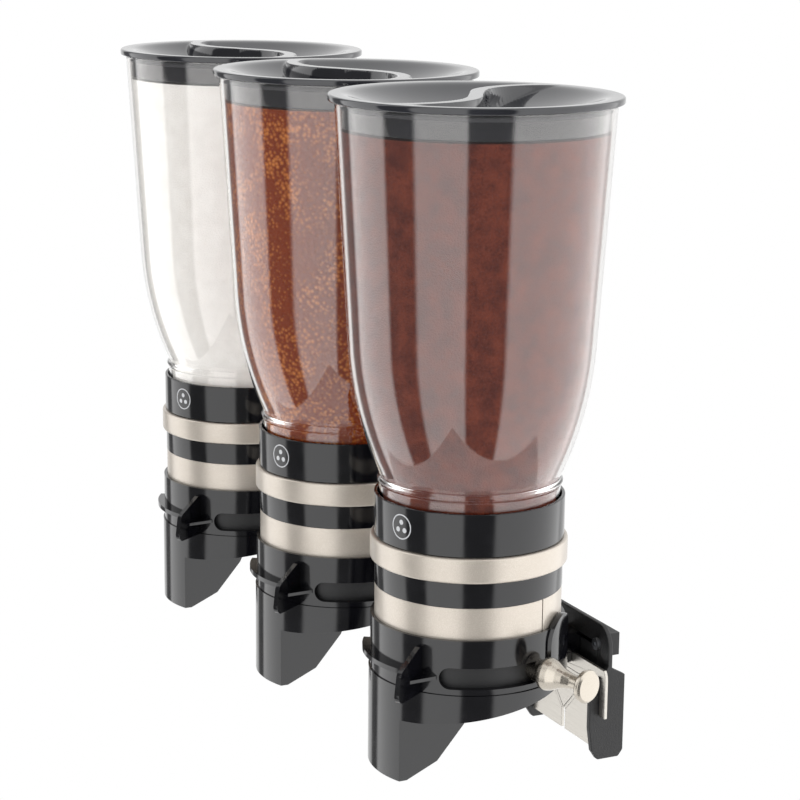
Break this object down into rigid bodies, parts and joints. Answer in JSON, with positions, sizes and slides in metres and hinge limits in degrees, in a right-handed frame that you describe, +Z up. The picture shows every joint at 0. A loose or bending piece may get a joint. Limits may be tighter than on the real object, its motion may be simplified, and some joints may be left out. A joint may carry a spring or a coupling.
{
  "type": "wall-mounted cereal dispenser row",
  "caption": "Wall-mounted row of dry-food dispensers: clear tapering canisters with twist lids over a portion dial, a swinging metering lever and a front chute.",
  "frame": {"origin": "middle of the wall rail's back face, halfway between its two wall screw holes", "axes": "+Z up; -Y out of the wall towards the user, so the wall is the plane Y = 0; +X to the user's right along the row"},
  "size_m": [0.54, 0.171, 0.4004],
  "materials": {
    "lid_smoke": "polished, slightly smoky",
    "seal": "matte silicone",
    "clear": "polished clear polycarbonate",
    "gloss_black": "polished",
    "champagne": "satin champagne lacquer",
    "inner_black": "fine matte",
    "inner_steel": "brushed",
    "knob_steel": "satin turned",
    "black_paint": "fine textured powder coat",
    "sheet_steel": "satin sheet",
    "screw_steel": "zinc plated, satin"
  },
  "bodies": {
    "wall_mount": {"wall_rail": "black_paint", "bracket_screws": "screw_steel", "left_bracket": "black_paint", "left_hanger_plate": "sheet_steel", "middle_bracket": "black_paint", "middle_hanger_plate": "sheet_steel", "right_bracket": "black_paint", "right_hanger_plate": "sheet_steel"},
    "left_dispenser": {"left_neck_seal": "seal", "left_collar": "gloss_black", "left_spacer_ring": "gloss_black", "left_trim_band": "champagne", "left_chamber": "inner_black", "left_inlet_plate": "inner_steel", "left_outlet_plate": "inner_steel", "left_housing": "gloss_black", "left_spout": "gloss_black"},
    "left_rotor": {"left_metering_disc": "inner_black", "left_agitator": "inner_black", "left_knob": "knob_steel"},
    "left_dial": {"left_dial_ring": "champagne", "left_portion_gate": "inner_steel"},
    "left_hopper": {"left_canister": "clear"},
    "left_cover": {"left_lid": "lid_smoke", "left_lid_seal": "seal"},
    "middle_dispenser": {"middle_neck_seal": "seal", "middle_collar": "gloss_black", "middle_spacer_ring": "gloss_black", "middle_trim_band": "champagne", "middle_chamber": "inner_black", "middle_inlet_plate": "inner_steel", "middle_outlet_plate": "inner_steel", "middle_housing": "gloss_black", "middle_spout": "gloss_black"},
    "middle_rotor": {"middle_metering_disc": "inner_black", "middle_agitator": "inner_black", "middle_knob": "knob_steel"},
    "middle_dial": {"middle_dial_ring": "champagne", "middle_portion_gate": "inner_steel"},
    "middle_hopper": {"middle_canister": "clear"},
    "middle_cover": {"middle_lid": "lid_smoke", "middle_lid_seal": "seal"},
    "right_dispenser": {"right_neck_seal": "seal", "right_collar": "gloss_black", "right_spacer_ring": "gloss_black", "right_trim_band": "champagne", "right_chamber": "inner_black", "right_inlet_plate": "inner_steel", "right_outlet_plate": "inner_steel", "right_housing": "gloss_black", "right_spout": "gloss_black"},
    "right_rotor": {"right_metering_disc": "inner_black", "right_agitator": "inner_black", "right_knob": "knob_steel"},
    "right_dial": {"right_dial_ring": "champagne", "right_portion_gate": "inner_steel"},
    "right_hopper": {"right_canister": "clear"},
    "right_cover": {"right_lid": "lid_smoke", "right_lid_seal": "seal"}
  },
  "joints": [
    {"name": "left_hang", "type": "slide", "parent": "wall_mount", "child": "left_dispenser", "axis": [0, 0, 1], "range_m": [0, 0.04]},
    {"name": "left_lever", "type": "hinge", "parent": "left_dispenser", "child": "left_rotor", "pos_m": [-0.18, -0.086, 0], "axis": [0, 0, 1], "range_deg": [-56, 0]},
    {"name": "left_portion", "type": "hinge", "parent": "left_dispenser", "child": "left_dial", "pos_m": [-0.18, -0.086, 0], "axis": [0, 0, 1], "range_deg": [0, 28]},
    {"name": "left_canister_lift", "type": "slide", "parent": "left_dispenser", "child": "left_hopper", "axis": [0, 0, 1], "range_m": [0, 0.04]},
    {"name": "left_lid_lift", "type": "slide", "parent": "left_hopper", "child": "left_cover", "axis": [0, 0, 1], "range_m": [0, 0.04]},
    {"name": "middle_hang", "type": "slide", "parent": "wall_mount", "child": "middle_dispenser", "axis": [0, 0, 1], "range_m": [0, 0.04]},
    {"name": "middle_lever", "type": "hinge", "parent": "middle_dispenser", "child": "middle_rotor", "pos_m": [0, -0.086, 0], "axis": [0, 0, 1], "range_deg": [-56, 0]},
    {"name": "middle_portion", "type": "hinge", "parent": "middle_dispenser", "child": "middle_dial", "pos_m": [0, -0.086, 0], "axis": [0, 0, 1], "range_deg": [0, 28]},
    {"name": "middle_canister_lift", "type": "slide", "parent": "middle_dispenser", "child": "middle_hopper", "axis": [0, 0, 1], "range_m": [0, 0.04]},
    {"name": "middle_lid_lift", "type": "slide", "parent": "middle_hopper", "child": "middle_cover", "axis": [0, 0, 1], "range_m": [0, 0.04]},
    {"name": "right_hang", "type": "slide", "parent": "wall_mount", "child": "right_dispenser", "axis": [0, 0, 1], "range_m": [0, 0.04]},
    {"name": "right_lever", "type": "hinge", "parent": "right_dispenser", "child": "right_rotor", "pos_m": [0.18, -0.086, 0], "axis": [0, 0, 1], "range_deg": [-56, 0]},
    {"name": "right_portion", "type": "hinge", "parent": "right_dispenser", "child": "right_dial", "pos_m": [0.18, -0.086, 0], "axis": [0, 0, 1], "range_deg": [0, 28]},
    {"name": "right_canister_lift", "type": "slide", "parent": "right_dispenser", "child": "right_hopper", "axis": [0, 0, 1], "range_m": [0, 0.04]},
    {"name": "right_lid_lift", "type": "slide", "parent": "right_hopper", "child": "right_cover", "axis": [0, 0, 1], "range_m": [0, 0.04]}
  ]
}
